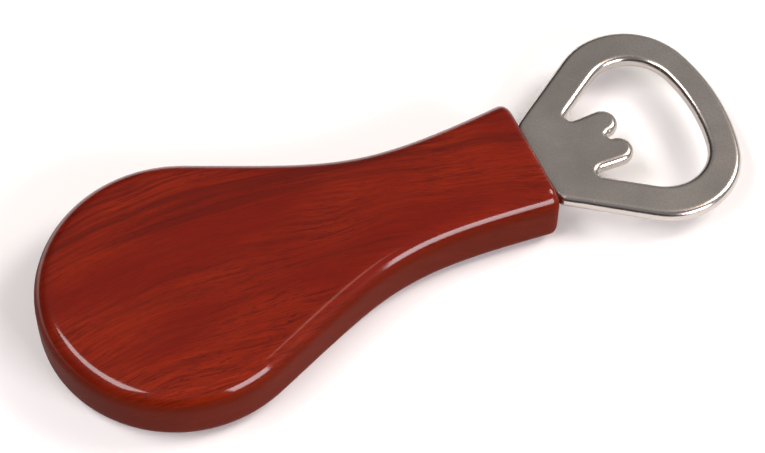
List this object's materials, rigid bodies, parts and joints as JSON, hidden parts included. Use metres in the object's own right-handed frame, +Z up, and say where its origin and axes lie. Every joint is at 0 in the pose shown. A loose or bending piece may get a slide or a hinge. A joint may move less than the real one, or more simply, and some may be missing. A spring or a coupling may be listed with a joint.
{
  "type": "bottle opener",
  "caption": "Flat hand-held bottle opener: a ring-shaped steel head with a two-lobed tongue, its tang glued into a paddle-shaped lacquered wooden handle.",
  "frame": {"origin": "below the middle of the bounding box, on the flat underside that the handle rests on", "axes": "+X along the handle towards the opener head, +Y across it, +Z up out of the handle's upper face"},
  "size_m": [0.1517, 0.0574, 0.015],
  "materials": {
    "lacquered_wood": "red rosewood-coloured hardwood under clear gloss lacquer",
    "polished_steel": "nickel-plated steel, tumbled faces with bright polished edges",
    "epoxy": "cured amber epoxy"
  },
  "bodies": {
    "root": {"handle": "lacquered_wood", "opener_head": "polished_steel", "tang_adhesive": "epoxy"}
  },
  "joints": []
}
